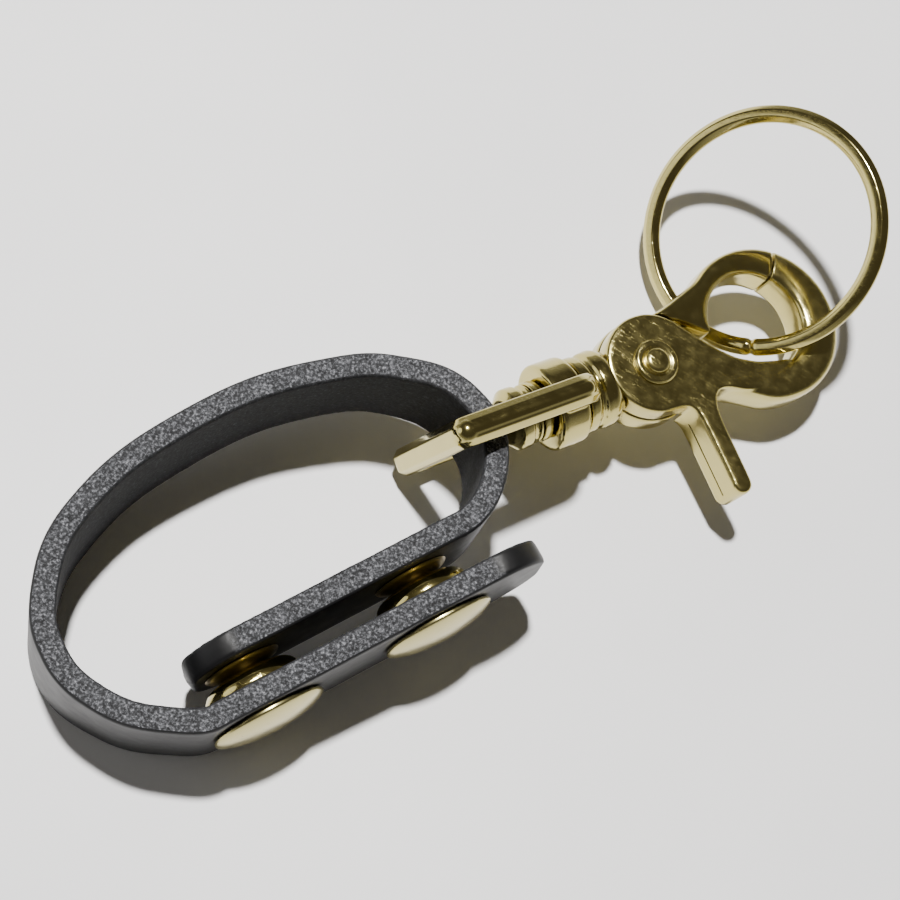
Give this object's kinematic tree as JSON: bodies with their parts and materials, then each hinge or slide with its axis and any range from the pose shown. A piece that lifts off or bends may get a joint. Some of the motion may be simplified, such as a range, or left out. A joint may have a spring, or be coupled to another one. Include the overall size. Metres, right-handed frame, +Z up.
{
  "type": "wristlet keychain",
  "caption": "Folded leather wrist strap closed by ring snaps, carrying a swivelling lever snap hook with a key ring in its eye.",
  "frame": {"origin": "middle of the object's base on the table", "axes": "+Z up from the table; the strap, hook and ring lie along the horizontal plane, with the ring toward +Y and the strap's snaps toward -Y"},
  "size_m": [0.0678, 0.101, 0.0229],
  "materials": {
    "leather": "smooth black grain side, rough dark flesh side and edges",
    "brass": "polished",
    "spring_steel": "drawn wire"
  },
  "bodies": {
    "strap": {"strap_loop": "leather", "snap_stud_1": "brass", "snap_stud_2": "brass", "snap_post_1": "brass", "snap_post_2": "brass"},
    "flap": {"strap_flap": "leather", "snap_cap_1": "brass", "snap_cap_2": "brass", "snap_socket_1": "brass", "snap_socket_2": "brass", "snap_spring_1": "spring_steel", "snap_spring_2": "spring_steel"},
    "eye": {"strap_eye": "brass", "swivel_washer": "brass"},
    "hook": {"hook_body": "brass", "swivel_stud": "brass", "pivot_rivet": "brass", "torsion_spring": "spring_steel"},
    "lever": {"hook_lever": "brass"},
    "ring": {"key_ring": "brass"}
  },
  "joints": [
    {"name": "flap_bend", "type": "hinge", "parent": "strap", "child": "flap", "pos_m": [-0.03325, -0.0379, 0.0068], "axis": [0, 0, -1], "range_deg": [0, 50]},
    {"name": "eye_turn", "type": "hinge", "parent": "strap", "child": "eye", "pos_m": [-0.00084, -0.00451, 0.01188], "axis": [0, 0, 1], "range_deg": [-12, 12]},
    {"name": "swivel", "type": "hinge", "parent": "eye", "child": "hook", "pos_m": [0.00647, 0.00505, 0.01062], "axis": [0.604, 0.7901, -0.1045], "continuous": true},
    {"name": "lever_press", "type": "hinge", "parent": "hook", "child": "lever", "pos_m": [0.01408, 0.01501, 0.0093], "axis": [-0.1187, -0.0405, -0.9921], "range_deg": [0, 25], "stiffness_Nm_per_rad": 0.02, "springref_deg": -11.46, "deforming": ["torsion_spring"]},
    {"name": "ring_swing", "type": "hinge", "parent": "hook", "child": "ring", "pos_m": [0.02268, 0.03036, 0.00764], "axis": [-0.735, -0.6549, -0.176], "range_deg": [0, 20]}
  ]
}
